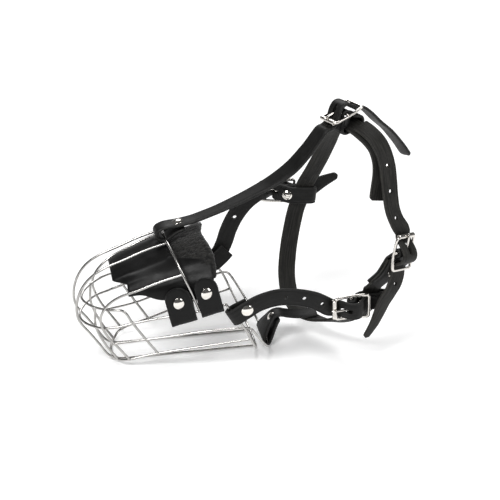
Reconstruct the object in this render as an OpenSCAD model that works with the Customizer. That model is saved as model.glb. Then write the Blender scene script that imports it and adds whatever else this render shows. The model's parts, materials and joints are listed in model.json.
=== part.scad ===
// Wire basket muzzle for a large dog: welded cage, leather nose pad, buckled leather harness.
// The nose points along -X, +Z is up and the floor is Z = 0.

/* [Cage] */
// Diameter of the cage wire
wire_d = 2.2; // [1.8:0.1:2.6]
// Sides of the round wire section
wire_sides = 8; // [6:1:12]
// Rings between two route points of a wire
wire_steps = 3; // [2:1:5]

/* [Leather] */
// Width of every strap
strap_w = 16; // [14:1:17]
// Thickness of one layer of strap leather
strap_t = 2.4; // [2:0.1:2.8]
// Rings between two route points of a strap
strap_steps = 4; // [3:1:6]
// Diameter of a rivet cap
rivet_d = 11; // [8:0.5:12]

/* [Buckles] */
// Length of a buckle frame along its strap
buckle_l = 34; // [32:1:38]
// Width of a buckle frame across its strap
buckle_w = 23.4; // [23:0.2:26]
// Thickness of the buckle frame
buckle_t = 2.4; // [2:0.1:2.8]
// Outer diameter of the roller
roller_d = 4.4; // [4:0.1:4.8]

/* [Hidden] */

leather = [0.13, 0.13, 0.12];
felt = [0.10, 0.10, 0.10];
steel = [0.78, 0.77, 0.75];

wire_r = wire_d / 2;
bottom_run_z = -8;
// Where the design frame's zero lies from the middle of the object's base
base_shift = [5, 1.9, wire_r * cos(180 / wire_sides) - bottom_run_z];

half_t = strap_t / 2;
bar_r = 1.1;
bar_gap = 0.08;
tongue_t = 2.2;

// ---- Routes: round numbers in the design frame, near side first; the far side is the mirror ----
top_route = [[-76, -14.5, 100.5], [-95, -14.5, 95], [-113, -14.5, 88], [-131, -14.5, 81],
             [-143, -14.5, 73], [-151, -14.5, 62], [-155, -14.5, 50], [-155, -14.5, 38],
             [-152, -14.5, 30], [-145, -14.5, 20], [-137, -14.5, 8], [-130, -14.5, -3],
             [-122, -14.5, -7.2], [-112, -14.5, bottom_run_z], [-87, -14.5, bottom_run_z],
             [-48, -14.5, bottom_run_z], [2, -14.5, bottom_run_z]];
side_route = [[-67, -46, 85], [-86, -44, 79], [-104, -42, 72], [-119, -39, 66], [-129, -37, 59],
              [-135, -36.5, 51], [-137, -36, 44], [-135.5, -35, 35], [-130, -33, 23],
              [-121, -30.5, 10], [-113, -28, -2]];
mouth_route = [[-31, -52, 56], [-54, -48.5, 50], [-80, -44, 45], [-95, -40, 41.5],
               [-109.5, -37, 38], [-122, -35.5, 35], [-135, -31, 33], [-144, -22, 31.5],
               [-150, -11, 30.5], [-152, 0, 30]];
nose_route = [[-88, -32.5, 3.5], [-98.6, -35.5, 20], [-109.5, -37, 38], [-115, -36.5, 48],
              [-120, -35.5, 51], [-130, -31, 50], [-140, -22, 49], [-147, -11, 48.5],
              [-149.5, 0, 48]];
low_side_route = [[-127, -32, 17], [-98.6, -35.5, 20], [-77, -41, 24], [-52, -47, 29],
                  [-16, -54, 33]];
bottom_route = [[-9, -49, 18], [-52, -41, 11], [-89, -32.5, 3.5], [-113, -28, -2],
                [-121, -20, -6], [-125, -10, -7.6], [-126, 0, -7.6]];
chin_route = [[-140, -22, 49], [-140, -22, 30], [-132, -21, 10], [-122, -19, -6]];
arch_route = [[-53, -48.5, 49.5], [-61, -49.5, 71], [-67, -46, 86], [-71, -36, 95],
              [-74.5, -22, 101], [-76, -10, 103], [-76.5, 0, 103.5]];
rim_route = [[-31, -52, 56], [-16, -54, 33], [-9, -49, 18], [-3, -38, 4], [1, -24, -5],
             [2, -10, -6.6], [2, 0, -6.6]];
guard_route = [[-16, -54, 33], [-10, -55, 31.5], [-4, -53, 23], [3, -46, 11], [9, -34, 1],
               [12, -22, -4.4], [13, -10, -4.4], [13, 0, -4.4]];

// ---- Vectors and curves ----
function unit(v) = v / norm(v);
function spin_x(p, a) = [p[0], p[1] * cos(a) - p[2] * sin(a), p[1] * sin(a) + p[2] * cos(a)];
function spin_y(p, a) = [p[0] * cos(a) + p[2] * sin(a), p[1], p[2] * cos(a) - p[0] * sin(a)];
function spin_z(p, a) = [p[0] * cos(a) - p[1] * sin(a), p[0] * sin(a) + p[1] * cos(a), p[2]];
function turned(p, r) = spin_z(spin_y(spin_x(p, r[0]), r[1]), r[2]);
function far_side(route) = [for (p = route) [p[0], -p[1], p[2]]];
function backwards(list) = [for (i = [len(list) - 1:-1:0]) list[i]];
function both_sides(route) = let(far = backwards(far_side(route)))
    concat(route, [for (i = [1:len(far) - 1]) far[i]]);
function blend_point(a, b, c, d, t) =
    0.5 * (2 * b + (c - a) * t + (2 * a - 5 * b + 4 * c - d) * t * t
           + (3 * b - a - 3 * c + d) * t * t * t);
function with_ends(p) = let(n = len(p) - 1) concat([2 * p[0] - p[1]], p, [2 * p[n] - p[n - 1]]);
function curve(points, steps) = let(p = with_ends(points))
    concat([for (i = [1:len(p) - 3], k = [0:steps - 1])
                blend_point(p[i - 1], p[i], p[i + 1], p[i + 2], k / steps)],
           [points[len(points) - 1]]);
function closed_curve(points, steps) = let(n = len(points))
    [for (i = [0:n - 1], k = [0:steps - 1])
        blend_point(points[(i + n - 1) % n], points[i], points[(i + 1) % n], points[(i + 2) % n],
                    k / steps)];
// The line that runs at a distance to the left of a closed line
function beside(line, distance) = let(n = len(line))
    [for (i = [0:n - 1]) let(t = unit(line[(i + 1) % n] - line[(i + n - 1) % n]))
        line[i] + distance * [-t[1], t[0]]];
function place(p) = [p[0], p[1], p[2]];
function along(path, i) =
    unit(place(path[min(i + 1, len(path) - 1)]) - place(path[max(i - 1, 0)]));
// Closed skin of rings, each with the same number of corners
function skin_faces(rings, sides) = concat(
    [[for (j = [0:sides - 1]) j]],
    side_faces(rings, sides),
    [[for (j = [sides - 1:-1:0]) (rings - 1) * sides + j]]);
function side_faces(rings, sides) = concat(
    [for (i = [0:rings - 2], j = [0:sides - 1])
        let(k = (j + 1) % sides, a = i * sides, b = a + sides) [a + j, b + j, a + k]],
    [for (i = [0:rings - 2], j = [0:sides - 1])
        let(k = (j + 1) % sides, a = i * sides, b = a + sides) [a + k, b + j, b + k]]);
// End faces of a thin shell, as quarters between its outer and its inner line
function shell_ends(rings, sides) = let(last = sides - 1, far = (rings - 1) * sides) concat(
    [for (j = [0:sides / 2 - 2]) [j, j + 1, last - 1 - j]],
    [for (j = [0:sides / 2 - 2]) [j, last - 1 - j, last - j]],
    [for (j = [0:sides / 2 - 2]) [far + last - 1 - j, far + j + 1, far + j]],
    [for (j = [0:sides / 2 - 2]) [far + last - j, far + last - 1 - j, far + j]]);

// Round wire along a route; the section is turned from a fixed side vector
module wire(route, side, steps = wire_steps) {
    path = curve(route, steps);
    points = [for (i = [0:len(path) - 1])
        let(t = along(path, i), u = unit(cross(t, side)), v = cross(t, u))
        for (j = [0:wire_sides - 1])
            let(a = 360 * (j + 0.5) / wire_sides)
            path[i] + wire_r * (cos(a) * u + sin(a) * v)];
    polyhedron(points, skin_faces(len(path), wire_sides), convexity = 6);
}

module wire_pair(route, side) {
    wire(route, side);
    wire(far_side(route), side);
}

// Flat strap along a route of six-number points: place, then the direction of its width.
// A seventh number is the width at that point.
module strap(route, width = strap_w, thick = strap_t, steps = strap_steps) {
    path = curve(route, steps);
    points = [for (i = [0:len(path) - 1])
        let(p = place(path[i]), t = along(path, i),
            across = [path[i][3], path[i][4], path[i][5]],
            wide = len(path[i]) > 6 ? path[i][6] : width,
            w = unit(across - (across * t) * t) * wide / 2,
            n = cross(t, unit(w)) * thick / 2)
        for (corner = [w + n, n - w, -w - n, w - n]) p + corner];
    polyhedron(points, skin_faces(len(path), 4), convexity = 6);
}

// ---- Buckles: local X runs along the strap from the roller, local Z is outward ----
crown_at = [79, 0, 203];
crown_turn = [0, -18, 24];
near_at = [77, -60, 46];
near_turn = [90, -2, 0];
far_at = [37, 61, 108.4];
far_turn = [-90, 5, 0];
neck_at = [121, -62, 96];
neck_turn = [0, 90, -63];
neck_lean = -8;

function from_buckle(p, at, turn, lean = 0) = at + turned(spin_z(p, lean), turn);
module at_buckle(at, turn, lean = 0) {
    translate(at) rotate(turn) rotate([0, 0, lean]) children();
}

// A strap end through a buckle: under the roller, over the centre bar, under the end bar
through_path = [[-24, -5], [-17.5, -4.9], [-12.6, -3.9], [-8.4, 0.4], [-4, 5.6], [1, 8.2],
                [6, 6.6], [10, 0.8], [14, -3.1], [19, -3.7], [25, -3.4]];
function through_buckle(at, turn, lean = 0, first = 0, last = len(through_path) - 1) =
    let(w = turned(spin_z([0, 1, 0], lean), turn))
    [for (i = [first:last]) let(p = through_path[i])
        concat(from_buckle([p[0], 0, p[1]], at, turn, lean), w)];

bar_x = buckle_l / 2 - buckle_t / 2;
rail_y = buckle_w / 2 - buckle_t / 2;

module buckle_frame() {
    color(steel) {
        difference() {
            translate([-bar_x, -buckle_w / 2, -buckle_t / 2])
                cube([buckle_l / 2 + bar_x, buckle_w, buckle_t]);
            translate([-bar_x - 1, -rail_y + buckle_t / 2, -buckle_t])
                cube([2 * bar_x + 1 - buckle_t / 2, 2 * rail_y - buckle_t, 2 * buckle_t]);
        }
        for (x = [-bar_x + 1.2, 0])
            translate([x, -rail_y, 0]) rotate([-90, 0, 0])
                cylinder(r = bar_r, h = 2 * rail_y, $fn = 32);
    }
}

roller_x = -bar_x + 1.2;

module buckle_roller() {
    color(steel) translate([roller_x, 0, 0]) rotate([90, 0, 0]) difference() {
        cylinder(d = roller_d, h = 17.4, center = true, $fn = 40);
        cylinder(r = bar_r + bar_gap, h = 19, center = true, $fn = 40);
    }
}

prong_r = 0.95;
prong_lift = asin((roller_d / 2 + prong_r + 0.05) / -roller_x);

module buckle_tongue() {
    color(steel) difference() {
        union() {
            rotate([90, 0, 0]) cylinder(r = 2.1, h = tongue_t, center = true, $fn = 40);
            rotate([0, prong_lift, 0]) translate([roller_x - 2.2, 0, 0]) rotate([0, 90, 0])
                cylinder(r = prong_r, h = -roller_x + 0.6, $fn = 24);
        }
        rotate([90, 0, 0])
            cylinder(r = bar_r + bar_gap, h = tongue_t + 1, center = true, $fn = 40);
    }
}

// Room for the tongue where it comes up through the strap's hole
module tongue_room() {
    translate([-7.5, 0, 3]) cube([13, 3.6, 12], center = true);
}

module fold_room() {
    cube([9, 3.2, 9], center = true);
}

// Height of a strap that lies between the two layers of a side keeper
layer_z = -9.6;
// Leather loop from the centre bar round the strap that the buckle hangs on
side_keeper_path = [[-2.9, 0], [-1.9, 2.1], [0.3, 2.9], [2.8, 1.2], [4.6, -3], [9, -6], [15, -6.4],
                    [28, -6.6], [32.5, -7.8], [33.6, -9.6], [32.5, -11.4], [28, -12.6],
                    [15, -12.6], [9, -11], [5, -7.4], [0.8, -3.8], [-1.9, -2.2]];
// Leather fold round the centre bar, open at its far end, over the end of its own strap.
// It bends forward and inward on its way down.
function neck_bend(x, z) = let(s = max(0, x - 3), d = max(0, x - 12))
    [x, -s * s / 64, z - d * d / 80];
neck_keeper_path = [[34, -6.6], [24, -6.6], [15, -6.4], [9, -6], [4.6, -3], [2.8, 1.2], [0.3, 2.9],
                    [-1.9, 2.1], [-2.9, 0], [-1.9, -2.2], [0.8, -3.8], [5, -8], [9, -11.4],
                    [15, -12.6], [24, -12.6], [34, -12.6]];
crown_keeper_path = [[-2.9, 0], [-1.9, 2.1], [0.3, 2.9], [2.8, 1.2], [4, -3], [9, -7], [14, -10],
                     [15.5, -13.5], [13.5, -17], [5, -18], [-5, -16.8], [-8, -13.5], [-6, -9.5],
                     [-4, -5.5], [-3.4, -2.4]];
keeper_steps = 3;
module keeper(path) {
    line = closed_curve(path, keeper_steps);
    color(leather) difference() {
        rotate([90, 0, 0]) linear_extrude(strap_w, center = true) difference() {
            polygon(beside(line, half_t));
            polygon(beside(line, -half_t));
        }
        fold_room();
    }
}

module rivet(d = rivet_d, grip = 2 * strap_t) {
    color(steel) {
        translate([0, 0, grip / 2 + 0.8]) intersection() {
            translate([0, 0, -d * 0.65]) sphere(r = d * 0.78, $fn = 48);
            cylinder(d = d, h = 4, $fn = 48);
        }
        translate([0, 0, grip / 2]) cylinder(d = d, h = 0.9, $fn = 48);
        cylinder(d = 3, h = grip + 1.2, center = true, $fn = 24);
        translate([0, 0, -grip / 2 - 0.8]) cylinder(d = d * 0.8, h = 0.8, $fn = 48);
    }
}

// ---- Cage ----
module top_wires() { color(steel) wire_pair(top_route, [0, 1, 0]); }
module side_wires() { color(steel) wire_pair(side_route, [0, 1, 0]); }
module nose_hoop() { color(steel) wire(both_sides(nose_route), [0.35, 0, 1]); }
module mouth_hoop() { color(steel) wire(both_sides(mouth_route), [0, 0, 1]); }
module low_side_wires() { color(steel) wire_pair(low_side_route, [0, 0, 1]); }
module bottom_hoop() { color(steel) wire(both_sides(bottom_route), [0, 0, 1]); }
module chin_wires() { color(steel) wire_pair(chin_route, [0, 1, 0]); }
module pad_arch() { color(steel) wire(both_sides(arch_route), [1, 0, 0]); }
module inner_rim() { color(steel) wire(both_sides(rim_route), [0.8, 0, 0.6]); }
module outer_guard() { color(steel) wire(both_sides(guard_route), [0.8, 0, 0.6]); }

// ---- Nose pad: arches from the near edge over the top to the far edge ----
// Each station: x at the top, x at the foot, half width, height of the foot, height of the top,
// and how late x turns from the one to the other
pad_stations = [[-123, -109, 34, 64, 76, 3], [-112, -100, 36, 64, 82, 3],
                [-96, -86, 38.5, 62, 89, 3], [-82, -66, 42, 61, 95, 5], [-76, -42, 46.4, 61, 98, 9]];
felt_stations = [[-119, -105, 31, 66, 73, 3], [-100, -88, 35, 67, 84, 3], [-80, -70, 38, 68, 91.5, 3],
                 [-64, -54, 39.5, 69, 99, 3], [-48, -42, 40.6, 70, 104, 3]];
function arch_point(s, a, grow) = let(c = abs(sin(a)))
    [s[0] + (s[1] - s[0]) * pow(c, s[5]), -(s[2] + grow) * sin(a) * (1.06 - 0.06 * c),
     s[3] + (s[4] + grow - s[3]) * pow(max(cos(a), 0), 0.8)];
arch_steps = 20;
module arch_shell(stations, thick) {
    n = 2 * (arch_steps + 1);
    smooth = curve(stations, 2);
    points = [for (s = smooth) concat(
        [for (j = [0:arch_steps]) arch_point(s, 180 * j / arch_steps - 90, 0)],
        [for (j = [arch_steps:-1:0]) arch_point(s, 180 * j / arch_steps - 90, -thick)])];
    flat = [for (ring = points, p = ring) p];
    polyhedron(flat, concat(side_faces(len(smooth), n), shell_ends(len(smooth), n)), convexity = 8);
}
module pad_leather() { color(leather) arch_shell(pad_stations, 2); }
module pad_felt() { color(felt) translate([0, 0, -0.6]) arch_shell(felt_stations, 5); }

// ---- Tabs: each hangs from the pad, goes round the mouth wire and is riveted to itself ----
tab_t = 2.2;
front_tab_w = 22;
rear_tab_w = 19;
front_tab_drop = 4.5;
rear_tab_drop = 1.5;
front_tab_rise = 0;
rear_tab_rise = 4;
// Steps from the wire: forward, outward and up, then the share of the drop and of the rise
tab_steps = [[-4.4, 2.4, 15, 0, 1], [-2.5, 2.5, 9, 0, 0], [-0.6, 2.6, 2, 1, 0], [0.4, 2, -1.5, 1, 0],
             [0.7, 0, -3.2, 1, 0], [0.4, -2, -1.5, 1, 0], [-0.6, -2.6, 2, 1, 0], [-4, -2.8, 13, 0, 0.5],
             [-7.5, -1.4, 26, 0, 1]];
function tab_route(at, drop, rise) =
    [for (p = tab_steps) at + [p[0], p[1], p[2] - drop * p[3] + rise * p[4]]];
function with_width(route, w) = [for (p = route) concat(p, w)];
module tabs(at, width, drop, rise) {
    for (side = [0, 1]) mirror([0, side, 0])
        strap(with_width(tab_route(at, drop, rise), [0.94, -0.16, 0.3]), width, tab_t, 3);
}
front_tab_at = [-67, -46.2, 47.4];
rear_tab_at = [-43, -50.3, 53];
module front_tabs() {
    color(leather) tabs(front_tab_at, front_tab_w, front_tab_drop, front_tab_rise);
}
module rear_tabs() {
    color(leather) tabs(rear_tab_at, rear_tab_w, rear_tab_drop, rear_tab_rise);
}
module tab_rivets() {
    for (side = [0, 1], place = [front_tab_at + [-4.2, -0.4, 12.6], rear_tab_at + [-5, -0.4, 16]])
        mirror([0, side, 0]) translate(place) rotate([88, 0, 10]) rivet(rivet_d, 6.6);
}

// ---- Loops on the cage ----
forehead_loop_route = [[-58, 0, 111.5], [-66, 0, 109.2], [-74, 0, 107.8], [-80.5, 0, 106.2],
                       [-82.6, 0, 102.5], [-79, 0, 99.4], [-73.5, 0, 100.6], [-66, 0, 105.6],
                       [-58, 0, 108.6]];
module forehead_loop() {
    color(leather) strap(with_width(forehead_loop_route, [0, 1, 0]), strap_w, 2, 3);
}
module forehead_rivet() { translate([-63, 0, 108.6]) rotate([0, -18, 0]) rivet(10, 6); }
// It is widest where it folds round the guard wire; each point ends with its width
throat_loop_route = [[25.6, -1, 12, 16], [21.4, -1, 6, 22], [17, -1, -2.6, 30], [13.4, -1, -7.8, 34],
                     [10, -1, -4.4, 34], [12, -1, 1.4, 30], [16.4, -1, 8.4, 22], [21, -1, 15, 16]];
module throat_loop() {
    color(leather) strap([for (p = throat_loop_route) [p[0], p[1], p[2], 0, 1, 0, p[3]]], thick = 2,
                         steps = 3);
}
module throat_rivet() { translate([21.2, -1, 10.4]) rotate([0, -54, 0]) rivet(9, 6.4); }

// ---- Harness ----
forehead_route = [[-48, 0, 114.6, 0, 1, 0], [-30, 0, 121.4, 0, 1, 0], [-8, 0, 130.4, -0.1, 1, 0.05],
                  [14, 0, 141, -0.25, 1, 0.1], [34, -3, 155.6, -0.42, 1, 0.2],
                  [48, -7, 173.4, -0.45, 1, 0.1]];
forehead_tail = [[104.6, 8.5, 199, -0.44, 0.9, 0], [113, 10, 190.4, -0.44, 0.9, 0],
                 [125, 11.5, 179, -0.44, 0.9, 0], [135, 12, 166.4, -0.44, 0.9, 0],
                 [143, 12, 154.4, -0.44, 0.9, 0]];
last_under_bar = len(through_path) - 2;
module forehead_strap() {
    color(leather) difference() {
        strap(concat(forehead_route, through_buckle(crown_at, crown_turn, 0, 0, last_under_bar),
                     forehead_tail));
        at_buckle(crown_at, crown_turn) tongue_room();
    }
}

throat_route = [[33, -1, 13.6, 0, 1, 0], [41, -1, 12.4, 0, 1, 0], [50, -1, 12, 0, 1, 0],
                [61, -1, 12.6, 0, 1, 0]];
module throat_strap() { color(leather) strap(throat_route); }

// The neck strap, from its riveted lower end round the throat, the far side and the crown to its
// free end, which lies under the billet and is riveted to it
function neck_direction() = turned(spin_z([0, 1, 0], neck_lean), neck_turn);
neck_end = [for (x = [12, 22, 32])
    concat(from_buckle(neck_bend(x, layer_z), neck_at, neck_turn, neck_lean), neck_direction())];
neck_route = [[97.4, -51.4, 57.6, 0.85, 0.1, -0.3], [96, -50.4, 47, 0.85, 0.1, -0.3],
              [90, -47.4, 35, 0.85, 0.2, -0.4], [78, -34, 21, 0.85, 0.2, -0.4],
              [65, -17, 11.6, 0.9, 0.2, -0.2], [55, 0, 8, 1, 0.1, 0], [47, 16, 9.4, 1, 0.1, 0],
              [43.4, 31, 17, 1, 0, 0], [43, 42, 31, 1, 0, 0], [45, 48, 47, 1, 0, 0],
              [48, 50.5, 67, 1, 0, 0], [52.6, 51.5, 90, 1, 0, -0.15], [56.8, 51.4, 103, 1, 0, -0.1],
              [61, 51.2, 116, 1, 0, -0.25], [67.4, 45, 133, 0.9, 0.1, -0.4],
              [72, 38, 148, 0.9, 0.15, -0.4], [76, 29.5, 164, 0.9, 0.2, -0.2],
              [79.4, 20, 180, 0.9, 0.3, 0.1], [82.8, 11, 189.6, 0.87, 0.39, 0.3],
              [86.3, 3.2, 191, 0.87, 0.39, 0.31], [89.7, -4.6, 190.8, 0.87, 0.39, 0.3],
              [94.6, -13.6, 188, 0.9, 0.3, 0.2], [99.6, -21.6, 183.6, 0.92, 0.25, 0.1],
              [103.6, -29, 177.6, 0.95, 0.25, 0], [105, -35.4, 169.4, 0.95, 0.25, -0.1],
              [104.2, -41, 160, 0.95, 0.2, -0.1], [102, -44.6, 149.6, 0.95, 0.2, -0.1],
              [100.4, -46.6, 139, 0.95, 0.2, -0.1]];
module neck_strap() { color(leather) strap(concat(neck_end, neck_route)); }

// The billet carries the holes: from the crown down the near side and through the neck buckle
billet_route = [[93.4, -9.6, 193.4, 0.87, 0.35, 0.25], [98.6, -18, 190.6, 0.9, 0.3, 0.2],
                [103.6, -27.4, 186, 0.92, 0.25, 0.1], [107, -36.6, 178.4, 0.95, 0.25, 0],
                [108.6, -44, 168.6, 0.95, 0.25, -0.1], [109, -49.6, 157.4, 0.95, 0.3, -0.1],
                [109.4, -53.6, 146, 0.9, 0.35, -0.1], [111, -56.6, 134, 0.88, 0.4, -0.1],
                [115.4, -57.6, 122.6, 0.88, 0.45, -0.14]];
neck_tail = [[111, -65, 63, 0.85, 0.45, -0.25], [104.4, -66, 52, 0.87, 0.38, -0.3],
             [101, -65, 42, 0.87, 0.35, -0.3], [97.6, -63, 31, 0.87, 0.32, -0.3],
             [93.4, -60.6, 20.6, 0.87, 0.3, -0.35], [91, -59, 14.6, 0.87, 0.3, -0.35]];
module neck_billet() {
    color(leather) difference() {
        strap(concat(billet_route, through_buckle(neck_at, neck_turn, neck_lean, 1), neck_tail));
        at_buckle(neck_at, neck_turn, neck_lean) tongue_room();
    }
}
module neck_rivet() { translate([107, -40.6, 167.4]) rotate([62, 0, 22]) rivet(8, 5.6); }

// Cheek straps: outer layer, then the fold round the rim wire, riveted to itself
near_cheek_route = [[-11, -52.8, 53.8, -0.5, 0, 0.85], [-17, -51.6, 50.2, -0.5, 0, 0.85],
                    [-24, -49.6, 45.6, -0.5, 0, 0.85], [-27.6, -52.6, 43.2, -0.5, 0, 0.85],
                    [-24.6, -57, 45.4, -0.5, 0, 0.85], [-16, -58, 51, -0.5, 0, 0.85],
                    [-4, -58, 57.6, -0.4, 0, 0.9], [12, -58.4, 61.6, -0.15, 0, 1],
                    [28, -59, 60.6, 0.1, 0, 1], [42, -59, 56.8, 0.25, 0, 1],
                    [51, -57.6, 51.6, 0.2, 0, 1]];
module near_cheek_strap() {
    color(leather) difference() {
        strap(concat(near_cheek_route, through_buckle(near_at, near_turn, 0, 1)));
        at_buckle(near_at, near_turn) tongue_room();
    }
}
far_cheek_route = [[-11, 52.8, 55.8, 0.52, 0, -0.84], [-17, 51.6, 50.2, 0.52, 0, -0.84],
                   [-24, 49.6, 45.6, 0.52, 0, -0.84], [-27.6, 52.6, 43.2, 0.52, 0, -0.84],
                   [-24.6, 57.2, 45.2, 0.52, 0, -0.84], [-17.6, 58.2, 51.4, 0.65, 0, -0.76],
                   [-12.6, 58.6, 61.6, 0.85, 0, -0.5], [-8.6, 57.8, 74.6, 0.85, 0, -0.5],
                   [-2, 57.2, 88.4, 0.75, 0, -0.65], [8, 56.6, 101.4, 0.5, 0, -0.85]];
far_cheek_tail = [[70, 58.2, 110.4, 0.2, 0, -1], [81, 57.4, 116, 0.3, 0, -1],
                  [93, 56.4, 121, 0.35, 0, -1]];
module far_cheek_strap() {
    color(leather) difference() {
        strap(concat(far_cheek_route, through_buckle(far_at, far_turn, 0, 1), far_cheek_tail));
        at_buckle(far_at, far_turn) tongue_room();
    }
}
module cheek_rivets() {
    translate([-14, -55.2, 52.2]) rotate([88, 0, 0]) rivet(rivet_d, 7.4);
    translate([-18.6, 55.2, 50.4]) rotate([-88, 0, 0]) rivet(rivet_d, 7.4);
}

module crown_keeper() { at_buckle(crown_at, crown_turn) keeper(crown_keeper_path); }
module near_keeper() { at_buckle(near_at, near_turn) keeper(side_keeper_path); }
module far_keeper() { at_buckle(far_at, far_turn) keeper(side_keeper_path); }
module neck_keeper() {
    color(leather) at_buckle(neck_at, neck_turn, neck_lean) difference() {
        strap([for (p = neck_keeper_path) concat(neck_bend(p[0], p[1]), [0, 1, 0])],
              steps = keeper_steps);
        fold_room();
    }
}
module keeper_rivets() {
    at_buckle(near_at, near_turn) translate([8.6, 0, -8.4]) rotate([180, 22, 0]) rivet(9, 7.6);
    at_buckle(far_at, far_turn) translate([8.6, 0, -8.4]) rotate([180, 22, 0]) rivet(9, 7.6);
    at_buckle(neck_at, neck_turn, neck_lean)
        translate(neck_bend(20, layer_z)) rotate([180, 12, 0]) rivet(9, 8.6);
}

module crown_buckle() { at_buckle(crown_at, crown_turn) buckle_frame(); }
module near_buckle() { at_buckle(near_at, near_turn) buckle_frame(); }
module far_buckle() { at_buckle(far_at, far_turn) buckle_frame(); }
module neck_buckle() { at_buckle(neck_at, neck_turn, neck_lean) buckle_frame(); }
module crown_tongue() { at_buckle(crown_at, crown_turn) buckle_tongue(); }
module near_tongue() { at_buckle(near_at, near_turn) buckle_tongue(); }
module far_tongue() { at_buckle(far_at, far_turn) buckle_tongue(); }
module neck_tongue() { at_buckle(neck_at, neck_turn, neck_lean) buckle_tongue(); }
module crown_roller() { at_buckle(crown_at, crown_turn) buckle_roller(); }
module near_roller() { at_buckle(near_at, near_turn) buckle_roller(); }
module far_roller() { at_buckle(far_at, far_turn) buckle_roller(); }
module neck_roller() { at_buckle(neck_at, neck_turn, neck_lean) buckle_roller(); }

module based() { translate(base_shift) children(); }

based() top_wires();
based() side_wires();
based() nose_hoop();
based() mouth_hoop();
based() low_side_wires();
based() bottom_hoop();
based() chin_wires();
based() pad_arch();
based() inner_rim();
based() outer_guard();
based() pad_leather();
based() pad_felt();
based() front_tabs();
based() rear_tabs();
based() tab_rivets();
based() forehead_loop();
based() forehead_rivet();
based() throat_loop();
based() throat_rivet();
based() forehead_strap();
based() throat_strap();
based() neck_strap();
based() neck_billet();
based() neck_rivet();
based() near_cheek_strap();
based() far_cheek_strap();
based() cheek_rivets();
based() crown_keeper();
based() near_keeper();
based() far_keeper();
based() neck_keeper();
based() keeper_rivets();
based() crown_buckle();
based() near_buckle();
based() far_buckle();
based() neck_buckle();
based() crown_tongue();
based() near_tongue();
based() far_tongue();
based() neck_tongue();
based() crown_roller();
based() near_roller();
based() far_roller();
based() neck_roller();
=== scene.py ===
"""Wire basket muzzle: smooth wire, leather straps, felt-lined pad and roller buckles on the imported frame."""

import json
import math

import bmesh
import bpy
import numpy as np
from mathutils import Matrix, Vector, noise


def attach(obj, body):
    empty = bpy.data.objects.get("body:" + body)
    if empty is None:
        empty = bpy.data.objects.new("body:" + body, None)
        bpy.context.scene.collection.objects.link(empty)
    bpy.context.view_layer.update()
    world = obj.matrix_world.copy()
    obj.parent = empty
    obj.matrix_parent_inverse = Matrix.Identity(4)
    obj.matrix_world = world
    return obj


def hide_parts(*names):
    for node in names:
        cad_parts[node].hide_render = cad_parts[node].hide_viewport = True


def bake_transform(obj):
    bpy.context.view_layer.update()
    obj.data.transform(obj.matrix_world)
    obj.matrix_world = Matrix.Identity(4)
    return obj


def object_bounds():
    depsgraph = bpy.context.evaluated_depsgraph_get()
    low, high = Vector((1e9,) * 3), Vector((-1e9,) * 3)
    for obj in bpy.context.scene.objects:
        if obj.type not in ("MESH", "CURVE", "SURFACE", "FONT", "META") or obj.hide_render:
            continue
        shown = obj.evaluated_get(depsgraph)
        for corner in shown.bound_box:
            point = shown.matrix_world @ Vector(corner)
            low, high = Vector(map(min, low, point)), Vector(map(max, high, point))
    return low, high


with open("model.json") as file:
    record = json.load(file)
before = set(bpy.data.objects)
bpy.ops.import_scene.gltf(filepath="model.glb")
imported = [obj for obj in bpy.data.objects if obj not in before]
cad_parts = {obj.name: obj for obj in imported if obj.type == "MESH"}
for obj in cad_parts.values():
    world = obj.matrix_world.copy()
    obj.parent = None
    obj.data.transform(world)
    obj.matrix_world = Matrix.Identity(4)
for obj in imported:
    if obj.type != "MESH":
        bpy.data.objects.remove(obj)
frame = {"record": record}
cad_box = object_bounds()

NOISE_SEED = 3
noise.seed_set(NOISE_SEED)

# ---- Frame: routes are in millimetres from the design zero, which the harness hinge locates ----
MM = 0.001
JOINTS = {j["name"]: j for j in frame["record"]["behaviour"]["joints"]}
HARNESS_HINGE = np.array([-23.5, 0, 44.5])
SHIFT = np.array(JOINTS["harness_swing"]["pos_m"]) - HARNESS_HINGE * MM

WIRE_R = 1.1
STRAP_W = 16
STRAP_T = 2.4
BAR_R = 1.1
ROLLER_R = 2.2
RIVET_R = 5.5


def to_world(p):
    """A place in design millimetres, in metres in the row frame."""
    return Vector(np.array(p, float) * MM + SHIFT)


# ---- Curves and meshes ----
SPAN_STEPS = 16


def gone_along(line):
    """Distance from the start at each point of a line."""
    return np.r_[0, np.cumsum(np.linalg.norm(np.diff(line, axis=0), axis=1))]


def curve(points, step):
    """Catmull-Rom curve through rows whose first three numbers are a place, evenly spaced."""
    p = np.array(points, float)
    p = np.vstack([2 * p[0] - p[1], p, 2 * p[-1] - p[-2]])
    t = np.linspace(0, 1, SPAN_STEPS, endpoint=False)[:, None]
    parts = [
        0.5 * (2 * b + (c - a) * t + (2 * a - 5 * b + 4 * c - d) * t**2
               + (3 * b - a - 3 * c + d) * t**3)
        for a, b, c, d in zip(p, p[1:], p[2:], p[3:])
    ]
    dense = np.vstack(parts + [p[-2][None]])
    gone = gone_along(dense[:, :3])
    even = np.linspace(0, gone[-1], max(3, round(gone[-1] / step) + 1))
    return np.column_stack([np.interp(even, gone, column) for column in dense.T])


def far_side(points):
    """The same rows mirrored to the far side."""
    return [(p[0], -p[1], *p[2:]) for p in points]


def both_sides(points):
    """Rows that end in the middle, carried on to the far side."""
    return list(points) + far_side(points)[-2::-1]


def unit(v):
    return v / np.linalg.norm(v, axis=-1, keepdims=True)


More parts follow.
